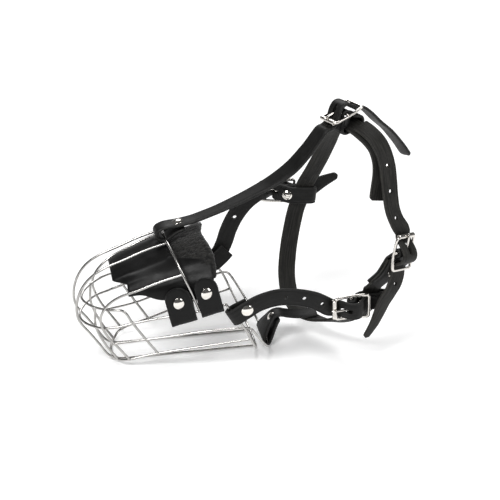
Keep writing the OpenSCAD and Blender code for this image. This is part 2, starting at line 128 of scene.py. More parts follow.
def make_object(name, verts_mm, faces, material):
    """A smooth-shaded mesh object from design millimetres."""
    mesh = bpy.data.meshes.new(name)
    world = np.array(verts_mm, float) * MM + SHIFT
    mesh.from_pydata(world.tolist(), [], [[int(i) for i in f] for f in faces])
    obj = bpy.data.objects.new(name, mesh)
    bpy.context.scene.collection.objects.link(obj)
    mesh.materials.append(material)
    mesh.polygons.foreach_set("use_smooth", [True] * len(mesh.polygons))
    mesh.update()
    return obj


def point_values(obj, name, values):
    """One number at each vertex, for the material to read."""
    layer = obj.data.attributes.new(name, "FLOAT", "POINT")
    layer.data.foreach_set("value", np.array(values, np.float32))


def apply_modifiers(obj):
    """Replaces the mesh with what its modifiers make of it."""
    graph = bpy.context.evaluated_depsgraph_get()
    made = bpy.data.meshes.new_from_object(obj.evaluated_get(graph), depsgraph=graph)
    obj.modifiers.clear()
    obj.data = made


def place(obj, body, slot, *nodes):
    """Rides on a body and stands for CAD nodes, whose parts it hides; the slot is not used."""
    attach(obj, body)
    if nodes:
        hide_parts(*nodes)
    return obj


def quads(count, sides, closed=False):
    """Faces between neighbouring rings; a closed skin joins its last ring to its first."""
    return [
        (i * sides + j, i * sides + (j + 1) % sides,
         (i + 1) % count * sides + (j + 1) % sides, (i + 1) % count * sides + j)
        for i in range(count if closed else count - 1)
        for j in range(sides)
    ]


def loft(rings):
    """Vertices and faces of a skin over rings of equal length, closed at both ends."""
    count, sides = len(rings), len(rings[0])
    faces = quads(count, sides)
    faces.append(tuple(range(sides - 1, -1, -1)))
    faces.append(tuple(range((count - 1) * sides, count * sides)))
    return np.concatenate(rings), faces


def combine(shapes):
    """Several (vertices, faces) as one."""
    verts, faces, start = [], [], 0
    for v, f in shapes:
        verts.append(v)
        faces += [tuple(i + start for i in q) for q in f]
        start += len(v)
    return np.vstack(verts), faces


def aside(d):
    """A direction square to d."""
    return np.cross(d, [0, 0, 1.0] if abs(d[2]) < 0.9 else [1.0, 0, 0])


def circle(axis, u, sides):
    """Unit directions round an axis, starting at u."""
    angle = np.linspace(0, 2 * math.pi, sides, endpoint=False)[:, None]
    return np.cos(angle) * u + np.sin(angle) * np.cross(axis, u)


# Rings of a domed end: how far out and how wide, as shares of the radius
DOME = np.array([(0.97, 0.25), (0.78, 0.62), (0.43, 0.9)])
LEAST_RADIUS = 0.02


def tube(line, radius, sides=16):
    """Round skin along a line, carried along without twist, with domed ends."""
    radius = np.broadcast_to(np.array(radius, float), len(line))
    t = unit(np.gradient(line, axis=0))
    head = line[0] - t[0] * radius[0] * DOME[:, :1]
    tail = line[-1] + t[-1] * radius[-1] * DOME[::-1, :1]
    line = np.vstack([head, line, tail])
    radius = np.r_[radius[0] * DOME[:, 1], radius, radius[-1] * DOME[::-1, 1]]
    t = np.vstack([[t[0]] * len(DOME), t, [t[-1]] * len(DOME)])
    u = aside(t[0])
    rings = []
    for p, d, r in zip(line, t, radius):
        u = unit(u - d * (u @ d))
        rings.append(p + r * circle(d, u, sides))
    return loft(rings)


def lathe(profile, centre, axis, sides=40):
    """Round skin from (radius, height) pairs about an axis, closed at both ends."""
    axis = unit(np.array(axis, float))
    centre = np.array(centre, float)
    around = circle(axis, unit(aside(axis)), sides)
    return loft([centre + axis * h + around * max(r, LEAST_RADIUS) for r, h in profile])


# ---- Materials ----
def nodes_of(name):
    """A node material that holds only a shader: material, node tree and shader."""
    material = bpy.data.materials.new(name)
    material.use_nodes = True
    tree = material.node_tree
    tree.nodes.clear()
    out = tree.nodes.new("ShaderNodeOutputMaterial")
    shader = tree.nodes.new("ShaderNodeBsdfPrincipled")
    tree.links.new(shader.outputs[0], out.inputs[0])
    return material, tree, shader


def add(tree, kind, values=None, **settings):
    """A node with its input values and its settings."""
    node = tree.nodes.new(kind)
    for key, value in settings.items():
        setattr(node, key, value)
    for key, value in (values or {}).items():
        node.inputs[key].default_value = value
    return node


def ramp(tree, source, stops):
    """A colour ramp on a value output: stops are (position, grey or colour)."""
    node = tree.nodes.new("ShaderNodeValToRGB")
    elements = node.color_ramp.elements
    while len(elements) < len(stops):
        elements.new(0.5)
    for element, (position, value) in zip(elements, stops):
        element.position = position
        element.color = (value, value, value, 1) if isinstance(value, float) else (*value, 1)
    tree.links.new(source, node.inputs[0])
    return node.outputs[0]


def bumps(tree, shader, layers):
    """Chains bump nodes: layers are (height output, strength, distance in metres)."""
    last = None
    for height, strength, distance in layers:
        node = add(tree, "ShaderNodeBump", {"Strength": strength, "Distance": distance})
        tree.links.new(height, node.inputs["Height"])
        if last:
            tree.links.new(last, node.inputs["Normal"])
        last = node.outputs[0]
    tree.links.new(last, shader.inputs["Normal"])


def mix_colour(tree, factor, a, b):
    """Mixes a and b, each an output or a colour, by a value output."""
    node = add(tree, "ShaderNodeMix", data_type="RGBA")
    tree.links.new(factor, node.inputs[0])
    for socket, value in ((node.inputs[6], a), (node.inputs[7], b)):
        if isinstance(value, bpy.types.NodeSocket):
            tree.links.new(value, socket)
        else:
            socket.default_value = (*value, 1)
    return node.outputs[2]


def object_place(tree):
    return add(tree, "ShaderNodeTexCoord").outputs["Object"]


def noise_at(tree, coordinate, scale, detail, rough, stretch=(1, 1, 1)):
    """Noise by a coordinate output, finer along an axis that is stretched more."""
    mapping = add(tree, "ShaderNodeMapping", {"Scale": tuple(scale * k for k in stretch)})
    texture = add(tree, "ShaderNodeTexNoise", {"Scale": 1.0, "Detail": detail, "Roughness": rough})
    tree.links.new(coordinate, mapping.inputs[0])
    tree.links.new(mapping.outputs[0], texture.inputs["Vector"])
    return texture.outputs["Fac"]


def leather(name, dark, light, rough, gloss, streaks, grain):
    """Dyed leather: pebbled grain, wrinkles, long streaks and paler, rubbed edges."""
    material, tree, shader = nodes_of(name)
    spot = object_place(tree)
    strap = add(tree, "ShaderNodeAttribute", attribute_name="strap_way")
    edge = add(tree, "ShaderNodeAttribute", attribute_name="edge")
    cells = add(tree, "ShaderNodeTexVoronoi", {"Scale": 1150.0, "Randomness": 1.0}, feature="F1")
    tree.links.new(spot, cells.inputs["Vector"])
    pebble = ramp(tree, cells.outputs["Distance"], [(0.0, 1.0), (0.55, 0.65), (0.9, 0.0)])
    wrinkle = noise_at(tree, spot, scale=260, detail=6.0, rough=0.62)
    blotch = noise_at(tree, spot, scale=70, detail=5.0, rough=0.6)
    streak = noise_at(tree, strap.outputs["Vector"], scale=1.0, detail=5.0, rough=0.6,
                      stretch=(45, 900, 1))
    wear = noise_at(tree, spot, scale=420, detail=3.0, rough=0.7)
    streak_colour = tuple(c * 2.6 for c in light)
    rubbed_colour = tuple(c * 3.4 for c in light)
    colour = mix_colour(tree, ramp(tree, blotch, [(0.35, 0.0), (0.7, 1.0)]), dark, light)
    lines = ramp(tree, streak, [(0.45, 0.0), (0.75, streaks)])
    colour = mix_colour(tree, lines, colour, streak_colour)
    rubbed = add(tree, "ShaderNodeMath", operation="MULTIPLY")
    tree.links.new(edge.outputs["Fac"], rubbed.inputs[0])
    tree.links.new(ramp(tree, wear, [(0.35, 0.1), (0.7, 0.7)]), rubbed.inputs[1])
    colour = mix_colour(tree, rubbed.outputs[0], colour, rubbed_colour)
    tree.links.new(colour, shader.inputs["Base Color"])
    tree.links.new(ramp(tree, blotch, [(0.3, rough - 0.08), (0.75, rough + 0.12)]),
                   shader.inputs["Roughness"])
    shader.inputs["Specular IOR Level"].default_value = gloss
    bumps(tree, shader, [(pebble, grain, 0.00012), (wrinkle, 0.35, 0.0005),
                         (streak, 0.25 * streaks, 0.0002)])
    return material


def felt_material():
    """Short black wool pile, clumped, with stray paler fibres."""
    material, tree, shader = nodes_of("felt_wool")
    spot = object_place(tree)
    clump = noise_at(tree, spot, scale=330, detail=5.0, rough=0.65)
    fibre = noise_at(tree, spot, scale=1500, detail=6.0, rough=0.75)
    hairs = add(tree, "ShaderNodeTexVoronoi", {"Scale": 620.0, "Randomness": 1.0}, feature="SMOOTH_F1")
    tree.links.new(spot, hairs.inputs["Vector"])
    wool_dark, wool_light, stray = (0.006, 0.006, 0.006), (0.030, 0.029, 0.027), (0.075, 0.072, 0.068)
    colour = mix_colour(tree, ramp(tree, clump, [(0.35, 0.0), (0.68, 1.0)]), wool_dark, wool_light)
    colour = mix_colour(tree, ramp(tree, fibre, [(0.58, 0.0), (0.72, 0.6)]), colour, stray)
    tree.links.new(colour, shader.inputs["Base Color"])
    shader.inputs["Roughness"].default_value = 0.95
    shader.inputs["Specular IOR Level"].default_value = 0.15
    shader.inputs["Sheen Weight"].default_value = 0.25
    shader.inputs["Sheen Roughness"].default_value = 0.5
    bumps(tree, shader, [(clump, 0.9, 0.0016), (hairs.outputs["Distance"], 0.5, 0.0007),
                         (fibre, 0.6, 0.0004)])
    return material


def nickel(name, base, rough, dull, scratch):
    """Nickel plate: slightly uneven, dulled in patches and finely specked."""
    material, tree, shader = nodes_of(name)
    spot = object_place(tree)
    patch = noise_at(tree, spot, scale=120, detail=4.0, rough=0.6)
    speck = noise_at(tree, spot, scale=900, detail=5.0, rough=0.7)
    dull_colour = tuple(c * dull for c in base)
    speck_colour = tuple(c * 0.55 for c in base)
    colour = mix_colour(tree, ramp(tree, patch, [(0.4, 0.0), (0.75, 1.0)]), base, dull_colour)
    colour = mix_colour(tree, ramp(tree, speck, [(0.62, 0.0), (0.8, 0.5)]), colour, speck_colour)
    tree.links.new(colour, shader.inputs["Base Color"])
    shader.inputs["Metallic"].default_value = 1.0
    tree.links.new(ramp(tree, speck, [(0.3, rough), (0.8, rough + 0.14)]),
                   shader.inputs["Roughness"])
    bumps(tree, shader, [(patch, 0.25, 0.0004), (speck, scratch, 0.00008)])
    return material


STRAP_LEATHER = leather("strap_leather", dark=(0.0048, 0.0048, 0.0046), light=(0.009, 0.009, 0.0086),
                        rough=0.5, gloss=0.22, streaks=0.45, grain=0.5)
WORN_LEATHER = leather("worn_leather", dark=(0.0075, 0.0073, 0.0066), light=(0.014, 0.0135, 0.012),
                       rough=0.58, gloss=0.22, streaks=1.0, grain=0.6)
PAD_LEATHER = leather("pad_leather", dark=(0.004, 0.004, 0.004), light=(0.007, 0.007, 0.0069),
                      rough=0.42, gloss=0.17, streaks=0.15, grain=0.35)
FELT = felt_material()
WIRE = nickel("wire_nickel", (0.50, 0.49, 0.475), rough=0.17, dull=0.8, scratch=0.2)
BUCKLE = nickel("buckle_nickel", (0.78, 0.75, 0.71), rough=0.14, dull=0.7, scratch=0.35)
RIVET = nickel("rivet_nickel", (0.86, 0.83, 0.78), rough=0.06, dull=0.88, scratch=0.12)

# ---- Cage wire ----
TOP = [(-76, -14.5, 100.5), (-95, -14.5, 95), (-113, -14.5, 88), (-131, -14.5, 81),
       (-143, -14.5, 73), (-151, -14.5, 62), (-155, -14.5, 50), (-155, -14.5, 38),
       (-152, -14.5, 30), (-145, -14.5, 20), (-137, -14.5, 8), (-130, -14.5, -3),
       (-122, -14.5, -7.2), (-112, -14.5, -8), (-87, -14.5, -8), (-48, -14.5, -8),
       (2, -14.5, -8)]
SIDE = [(-67, -46, 85), (-86, -44, 79), (-104, -42, 72), (-119, -39, 66), (-129, -37, 59),
        (-135, -36.5, 51), (-137, -36, 44), (-135.5, -35, 35), (-130, -33, 23),
        (-121, -30.5, 10), (-113, -28, -2)]
MOUTH = [(-31, -52, 56), (-54, -48.5, 50), (-80, -44, 45), (-95, -40, 41.5), (-109.5, -37, 38),
         (-122, -35.5, 35), (-135, -31, 33), (-144, -22, 31.5), (-150, -11, 30.5), (-152, 0, 30)]
NOSE = [(-88, -32.5, 3.5), (-98.6, -35.5, 20), (-109.5, -37, 38), (-115, -36.5, 48),
        (-120, -35.5, 51), (-130, -31, 50), (-140, -22, 49), (-147, -11, 48.5), (-149.5, 0, 48)]
LOW_SIDE = [(-127, -32, 17), (-98.6, -35.5, 20), (-77, -41, 24), (-52, -47, 29), (-16, -54, 33)]
BOTTOM = [(-9, -49, 18), (-52, -41, 11), (-89, -32.5, 3.5), (-113, -28, -2), (-121, -20, -6),
          (-125, -10, -7.6), (-126, 0, -7.6)]
CHIN = [(-140, -22, 49), (-140, -22, 30), (-132, -21, 10), (-122, -19, -6)]
ARCH = [(-53, -48.5, 49.5), (-61, -49.5, 71), (-67, -46, 86), (-71, -36, 95), (-74.5, -22, 101),
        (-76, -10, 103), (-76.5, 0, 103.5)]
RIM = [(-31, -52, 56), (-16, -54, 33), (-9, -49, 18), (-3, -38, 4), (1, -24, -5),
       (2, -10, -6.6), (2, 0, -6.6)]
GUARD = [(-16, -54, 33), (-10, -55, 31.5), (-4, -53, 23), (3, -46, 11), (9, -34, 1),
         (12, -22, -4.4), (13, -10, -4.4), (13, 0, -4.4)]
CAGE = {
    "top_wires": [TOP, far_side(TOP)], "side_wires": [SIDE, far_side(SIDE)],
    "nose_hoop": [both_sides(NOSE)], "mouth_hoop": [both_sides(MOUTH)],
    "low_side_wires": [LOW_SIDE, far_side(LOW_SIDE)], "bottom_hoop": [both_sides(BOTTOM)],
    "chin_wires": [CHIN, far_side(CHIN)], "pad_arch": [both_sides(ARCH)],
    "inner_rim": [both_sides(RIM)], "outer_guard": [both_sides(GUARD)],
}
WIRE_STEP = 1.6
BEND_SIZE = 0.22
BEND_PITCH = 0.035
BEND_FADE_POINTS = 6
# Two wires closer than the reach are welded; welds keep apart along a wire and aren't made twice
WELD_REACH = 2.4
WELD_APART = 7
WELD_SAME = 1.2
BEAD = [(0, -1.35), (0.7, -1.2), (1.2, -0.75), (1.4, 0), (1.2, 0.75), (0.7, 1.2), (0, 1.35)]
BEAD_LUMP = 0.28
BEAD_PITCH = 0.6


def hand_bent(line, seed):
    """A wire's slight unevenness, none at its ends."""
    ends = np.minimum(np.arange(len(line)), np.arange(len(line))[::-1])
    fade = np.minimum(1, ends / BEND_FADE_POINTS)[:, None]
    drift = [noise.noise_vector(Vector(p) * BEND_PITCH + Vector((seed, 0, 0))) for p in line]
    return line + np.array(drift) * BEND_SIZE * fade


def weld_places(lines):
    """Where two different wires touch: place and both directions."""
    found = []
    for i, a in enumerate(lines):
        for b in lines[i + 1:]:
            gap = np.linalg.norm(a[:, None] - b[None], axis=2)
            while gap.min() < WELD_REACH:
                m, n = np.unravel_index(gap.argmin(), gap.shape)
                middle = (a[m] + b[n]) / 2
                gap[np.linalg.norm(a - middle, axis=1) < WELD_APART] = np.inf
                if all(np.linalg.norm(middle - w[0]) > WELD_SAME for w in found):
                    found.append((middle, unit(np.gradient(a, axis=0)[m]),
                                  unit(np.gradient(b, axis=0)[n])))
    return found


def weld_bead(middle, one, other):
    """A small flattened nugget across two wires."""
    across = np.cross(one, other)
    if np.linalg.norm(across) < 0.1:
        across = np.cross(one, [0, 0.3, 1.0])
    verts, faces = lathe(BEAD, middle, across, 14)
    lump = [noise.noise(Vector(v) * BEAD_PITCH) * BEAD_LUMP for v in verts]
    return verts + unit(verts - middle + 1e-6) * np.array(lump)[:, None], faces


cage_lines = []
for seed, (node, routes) in enumerate(CAGE.items()):
    lines = [hand_bent(curve(route, WIRE_STEP), seed) for route in routes]
    cage_lines += lines
    wire = make_object(node + "_wire", *combine([tube(line, WIRE_R) for line in lines]), WIRE)
    place(wire, "basket", "wire", node)
beads = make_object("weld_beads", *combine([weld_bead(*w) for w in weld_places(cage_lines)]), WIRE)
place(beads, "basket", "wire")


# ---- Straps ----
STRAP_STEP = 1.5
CREASE = 0.22
# A strap's end rings are thinner and narrower, so that its end looks rounded
END_THIN = 0.7
END_IN = 0.35
SWELL = 0.012
SWELL_PITCH = 0.11
RIPPLE_PITCH = 0.06
# How far the underside's streaks are shifted from the outer face's, in metres
UNDER_SHIFT = 0.05


def strap_outline(half, thick):
    """Section of a strap: places across and up, and how near each is to a rubbed edge."""
    k = min(1, half / (STRAP_W / 2))
    soft, rim, groove = 0.95 * k, 1.75 * k, 0.45 * k
    flat, inner = half - soft, half * 0.45
    top = [(flat, 0, 0.75), (half - rim + groove, 0, 0.15), (half - rim, -CREASE, 0),
           (half - rim - groove, 0, 0.1), (inner, 0.1, 0)]
    top = top + [(0, 0.14, 0)] + [(-a, b, e) for a, b, e in top[::-1]]
    turns = [math.radians(d) for d in (60, 30, 0, -30, -60)]
    round_edge = [(math.cos(a), math.sin(a)) for a in turns]
    under = ((-flat, 0.6), (-inner, 0), (0, 0), (inner, 0), (flat, 0.6))
    rows = [(a, thick / 2 + b * k, e) for a, b, e in top]
    rows += [(-flat - soft * c, thick / 2 * s, 1) for c, s in round_edge]
    rows += [(a, -thick / 2, e) for a, e in under]
    rows += [(flat + soft * c, thick / 2 * s, 1) for c, s in round_edge[::-1]]
    return np.array(rows)


# Each shape of tail gives the share of the full width at a distance from the end
def full_width(_):
    return 1.0


def round_share(d, reach, least):
    """A quarter circle's share over its reach; least is the square of the smallest share."""
    return math.sqrt(max(least, 1 - (1 - min(1, d / reach)) ** 2))


def pointed(length, point):
    """A tail that narrows over its length to a share of its width and ends rounded."""
    return lambda d: min(1, point + (1 - point) * d / length) * round_share(d, 3.2, 0.06)


def clipped(d):
    """A square end with clipped corners."""
    return min(1, 0.72 + 0.28 * d / 2.4)


def rounded(half):
    """A half-round end."""
    return lambda d: round_share(d + 0.3, half, 0.05)


def band_frames(rows):
    """Place, width direction, outward direction and own width, if any, at even steps."""
    path = curve(rows, STRAP_STEP)
    middle = path[:, :3]
    t = unit(np.gradient(middle, axis=0))
    across = path[:, 3:6]
    w = unit(across - t * np.sum(across * t, axis=1, keepdims=True))
    return middle, w, np.cross(t, w), path[:, 6:]


def band(name, rows, material, width=STRAP_W, thick=STRAP_T, tail=full_width, ripple=0.25):
    """A leather strap along rows of place and width direction; a seventh number is its own width."""
    middle, w, n, own = band_frames(rows)
    widths = own[:, 0] if own.size else np.full(len(middle), width)
    gone = gone_along(middle)
    rings, edge, way = [], [], []
    for i, s in enumerate(gone):
        swell = 1 + SWELL * noise.noise(Vector(middle[i]) * SWELL_PITCH)
        half = widths[i] / 2 * tail(gone[-1] - s) * swell
        if i in (0, len(gone) - 1):
            outline = strap_outline(half - END_IN, thick * END_THIN)
        else:
            outline = strap_outline(half, thick)
        lift = ripple * noise.noise(Vector(middle[i]) * RIPPLE_PITCH + Vector((9, 0, 0)))
        rings.append(middle[i] + outline[:, :1] * w[i] + (outline[:, 1:2] + lift) * n[i])
        edge.append(outline[:, 2])
        way.append([(s * MM, a * MM + (UNDER_SHIFT if b < 0 else 0), 0) for a, b, _ in outline])
    obj = make_object(name, *loft(rings), material)
    point_values(obj, "edge", np.concatenate(edge))
    layer = obj.data.attributes.new("strap_way", "FLOAT_VECTOR", "POINT")
    layer.data.foreach_set("vector", np.array(way, np.float32).ravel())
    return obj


def sharpen(obj, angle=42):
    """Marks edges over an angle as sharp, so that flat and round faces shade cleanly."""
    bm = bmesh.new()
    bm.from_mesh(obj.data)
    for e in bm.edges:
        if len(e.link_faces) == 2 and e.calc_face_angle() > math.radians(angle):
            e.smooth = False
    bm.to_mesh(obj.data)
    bm.free()


def cut(obj, shapes):
    """Takes closed shapes out of an object."""
    cutter = make_object("cutter", *combine(shapes), obj.data.materials[0])
    modifier = obj.modifiers.new("cut", "BOOLEAN")
    modifier.operation = "DIFFERENCE"
    modifier.solver = "MANIFOLD"
    modifier.object = cutter
    apply_modifiers(obj)
    bpy.data.objects.remove(cutter)


PUNCH = [(0, -4), (1.8, -4), (1.8, 4), (0, 4)]


def punched(rows, distances):
    """Round punch shapes through a strap at distances from its end, negative from its start."""
    middle, _, n, _ = band_frames(rows)
    gone = gone_along(middle)
    shapes = []
    for d in distances:
        i = int(np.abs(gone - (gone[-1] - d if d > 0 else -d)).argmin())
        shapes.append(lathe(PUNCH, middle[i], n[i], 24))
    return shapes


class Space:
    """A buckle's own space: X along the strap away from the roller, Y across, Z outward."""

    def __init__(self, side):
        hinge, spin = JOINTS[side + "_tongue_hinge"], JOINTS[side + "_roller_spin"]
        self.centre = (np.array(hinge["pos_m"]) - SHIFT) / MM
        roller = (np.array(spin["pos_m"]) - SHIFT) / MM
        self.x = unit(self.centre - roller)
        self.y = unit(np.array(hinge["axis"], float))
        self.z = np.cross(self.x, self.y)

    def at(self, p):
        """Places of this space in design millimetres."""
        p = np.atleast_2d(np.array(p, float))
        return self.centre + p[:, :1] * self.x + p[:, 1:2] * self.y + p[:, 2:3] * self.z

    def rows(self, path):
        """Strap rows through (x, z) pairs or whole places."""
        return [(*self.at((p[0], p[1] if len(p) == 3 else 0, p[-1]))[0], *self.y) for p in path]

    def box(self, low, high):
        """A closed box between two corners of this space, with rounded ends along X."""
        half_y = (high[1] - low[1]) / 2
        turn = np.linspace(-90, 90, 6) * math.pi / 180
        right = [(high[0] - half_y + half_y * math.cos(a), half_y * math.sin(a)) for a in turn]
        left = [(low[0] + half_y - half_y * math.cos(a), -half_y * math.sin(a)) for a in turn]
        return loft([self.at([(x, y, z) for x, y in right + left]) for z in (low[2], high[2])])


BUCKLES = {side: Space(side) for side in ("crown", "near", "far", "neck")}
# A strap's way through a buckle, and the height of the strap under a fold
THROUGH = [(-24, -5), (-17.5, -4.9), (-12.6, -3.9), (-8.4, 0.4), (-4, 5.6), (1, 8.2), (6, 6.6),
           (10, 0.8), (14, -3.1), (19, -3.7), (25, -3.4)]
LAYER_Z = -9.6
# Distances from a strap's end, or from its start where negative
BILLET_HOLES = (58, 132, 156, 177)
NEAR_HOLES = (-75, -92, -109)
FAR_HOLES = (-76,)
# Low and high corner of the cuts for a tongue, in its strap and in the fold behind it
TONGUE_SLOT = ((-9.6, -1.7, -4), (-0.4, 1.7, 10))
KEEPER_SLOT = ((-5.5, -1.8, -5), (4.5, 1.8, 6))

FOREHEAD = [(-58, 0, 108.6, 0, 1, 0), (-66, 0, 105.6, 0, 1, 0), (-73.5, 0, 100.6, 0, 1, 0),
            (-79, 0, 99.4, 0, 1, 0), (-83, 0, 102.5, 0, 1, 0), (-82.4, 0, 107.4, 0, 1, 0),
            (-76, 0, 110.6, 0, 1, 0), (-66, 0, 111.8, 0, 1, 0), (-58, 0, 113, 0, 1, 0),
            (-48, 0, 115.2, 0, 1, 0), (-30, 0, 121.4, 0, 1, 0), (-8, 0, 130.4, -0.1, 1, 0.05),
            (14, 0, 141, -0.25, 1, 0.1), (34, -3, 155.6, -0.42, 1, 0.2),
            (48, -7, 173.4, -0.45, 1, 0.1)]
FOREHEAD_TAIL = [(104.6, 8.5, 199, -0.44, 0.9, 0), (113, 10, 190.4, -0.44, 0.9, 0),
                 (125, 11.5, 179, -0.44, 0.9, 0), (135, 12, 166.4, -0.44, 0.9, 0),
                 (143, 12, 154.4, -0.44, 0.9, 0)]
# Here each row ends with the strap's own width
THROAT = [(25.6, -1, 12, 0, 1, 0, 16), (21.4, -1, 6, 0, 1, 0, 22), (17, -1, -2.6, 0, 1, 0, 30),
          (13.4, -1, -7.8, 0, 1, 0, 34), (10, -1, -4.4, 0, 1, 0, 34), (12, -1, 1.4, 0, 1, 0, 30),
          (16.4, -1, 8.4, 0, 1, 0, 22), (21, -1, 14.6, 0, 1, 0, 16), (27, -1, 15.8, 0, 1, 0, 16),
          (33, -1, 14.2, 0, 1, 0, 16), (41, -1, 12.6, 0, 1, 0, 16), (50, -1, 12, 0, 1, 0, 16),
          (61, -1, 12.6, 0, 1, 0, 16)]
NECK = [(97.4, -51.4, 57.6, 0.85, 0.1, -0.3), (96, -50.4, 47, 0.85, 0.1, -0.3),
        (90, -47.4, 35, 0.85, 0.2, -0.4), (78, -34, 21, 0.85, 0.2, -0.4),
        (65, -17, 11.6, 0.9, 0.2, -0.2), (55, 0, 8, 1, 0.1, 0), (47, 16, 9.4, 1, 0.1, 0),
        (43.4, 31, 17, 1, 0, 0), (43, 42, 31, 1, 0, 0), (45, 48, 47, 1, 0, 0),
        (48, 50.5, 67, 1, 0, 0), (52.6, 51.5, 90, 1, 0, -0.15), (56.8, 51.4, 103, 1, 0, -0.1),
        (61, 51.2, 116, 1, 0, -0.25), (67.4, 45, 133, 0.9, 0.1, -0.4),
        (72, 38, 148, 0.9, 0.15, -0.4), (76, 29.5, 164, 0.9, 0.2, -0.2),
        (79.4, 20, 180, 0.9, 0.3, 0.1), (82.8, 11, 189.6, 0.87, 0.39, 0.3),
        (86.3, 3.2, 191, 0.87, 0.39, 0.31), (89.7, -4.6, 190.8, 0.87, 0.39, 0.3),
        (94.6, -13.6, 188, 0.9, 0.3, 0.2), (99.6, -21.6, 183.6, 0.92, 0.25, 0.1),
        (103.6, -29, 177.6, 0.95, 0.25, 0), (105, -35.4, 169.4, 0.95, 0.25, -0.1),
        (104.2, -41, 160, 0.95, 0.2, -0.1), (102, -44.6, 149.6, 0.95, 0.2, -0.1),
        (100.4, -46.6, 139, 0.95, 0.2, -0.1)]
BILLET = [(93.4, -9.6, 193.4, 0.87, 0.35, 0.25), (98.6, -18, 190.6, 0.9, 0.3, 0.2),
          (103.6, -27.4, 186, 0.92, 0.25, 0.1), (107, -36.6, 178.4, 0.95, 0.25, 0),
          (108.6, -44, 168.6, 0.95, 0.25, -0.1), (109, -49.6, 157.4, 0.95, 0.3, -0.1),
          (109.4, -53.6, 146, 0.9, 0.35, -0.1), (111, -56.6, 134, 0.88, 0.4, -0.1),
          (115.4, -57.6, 122.6, 0.88, 0.45, -0.14)]
NECK_TAIL = [(111, -65, 63, 0.85, 0.45, -0.25), (104.4, -66, 52, 0.87, 0.38, -0.3),
             (101, -65, 42, 0.87, 0.35, -0.3), (97.6, -63, 31, 0.87, 0.32, -0.3),
             (93.4, -60.6, 20.6, 0.87, 0.3, -0.35), (91, -59, 14.6, 0.87, 0.3, -0.35)]
NEAR_CHEEK = [(-11, -52.8, 53.8, -0.5, 0, 0.85), (-17, -51.6, 50.2, -0.5, 0, 0.85),
              (-24, -49.6, 45.6, -0.5, 0, 0.85), (-27.6, -52.6, 43.2, -0.5, 0, 0.85),
              (-24.6, -57, 45.4, -0.5, 0, 0.85), (-16, -58, 51, -0.5, 0, 0.85),
              (-4, -58, 57.6, -0.4, 0, 0.9), (12, -58.4, 61.6, -0.15, 0, 1),
              (28, -59, 60.6, 0.1, 0, 1), (42, -59, 56.8, 0.25, 0, 1),
              (51, -57.6, 51.6, 0.2, 0, 1)]
FAR_CHEEK = [(-11, 52.8, 55.8, 0.52, 0, -0.84), (-17, 51.6, 50.2, 0.52, 0, -0.84),
             (-24, 49.6, 45.6, 0.52, 0, -0.84), (-27.6, 52.6, 43.2, 0.52, 0, -0.84),
             (-24.6, 57.2, 45.2, 0.52, 0, -0.84), (-17.6, 58.2, 51.4, 0.65, 0, -0.76),
             (-12.6, 58.6, 61.6, 0.85, 0, -0.5), (-8.6, 57.8, 74.6, 0.85, 0, -0.5),
             (-2, 57.2, 88.4, 0.75, 0, -0.65), (8, 56.6, 101.4, 0.5, 0, -0.85)]
FAR_CHEEK_TAIL = [(70, 58.2, 110.4, 0.2, 0, -1), (81, 57.4, 116, 0.3, 0, -1),
                  (93, 56.4, 121, 0.35, 0, -1)]
SIDE_FOLD = [(-2.9, 0), (-1.9, 2.1), (0.3, 2.9), (2.8, 1.2), (4.6, -3), (9, -6), (15, -6.4),
             (28, -6.6), (32.5, -7.8), (33.6, -9.6), (32.5, -11.4), (28, -12.6), (15, -12.6),
             (9, -11), (5, -7.4), (0.8, -3.8), (-1.9, -2.2), (-2.85, -0.3)]
CROWN_FOLD = [(-2.9, 0), (-1.9, 2.1), (0.3, 2.9), (2.8, 1.2), (4, -3), (9, -7), (14, -10),
              (15.5, -13.5), (13.5, -17), (5, -18), (-5, -16.8), (-8, -13.5), (-6, -9.5),
              (-4, -5.5), (-3.3, -2.4), (-2.95, -0.3)]
NECK_FOLD = [(34, -6.6), (24, -6.6), (15, -6.4), (9, -6), (4.6, -3), (2.8, 1.2), (0.3, 2.9),
             (-1.9, 2.1), (-2.9, 0), (-1.9, -2.2), (0.8, -3.8), (5, -8), (9, -11.4), (15, -12.6),
             (24, -12.6), (34, -12.6)]
FOLDS = {"crown": CROWN_FOLD, "near": SIDE_FOLD, "far": SIDE_FOLD, "neck": NECK_FOLD}


def neck_bend(x, z):
    """The neck fold bends forward and inward on its way down."""
    return x, -max(0, x - 3) ** 2 / 64, z - max(0, x - 12) ** 2 / 80


def turned_over(rows):
    """The same strap with its outer face on the other side."""
    return [(*r[:3], -r[3], -r[4], -r[5]) for r in rows]


crown, near, far, neck = BUCKLES.values()
forehead_rows = FOREHEAD + crown.rows(THROUGH[:-1]) + FOREHEAD_TAIL
collar_rows = neck.rows([neck_bend(x, LAYER_Z) for x in (12, 22, 32)]) + NECK
billet_rows = BILLET + neck.rows(THROUGH[1:]) + NECK_TAIL
near_rows = NEAR_CHEEK + near.rows(THROUGH[1:])
far_rows = FAR_CHEEK + far.rows(THROUGH[1:]) + FAR_CHEEK_TAIL

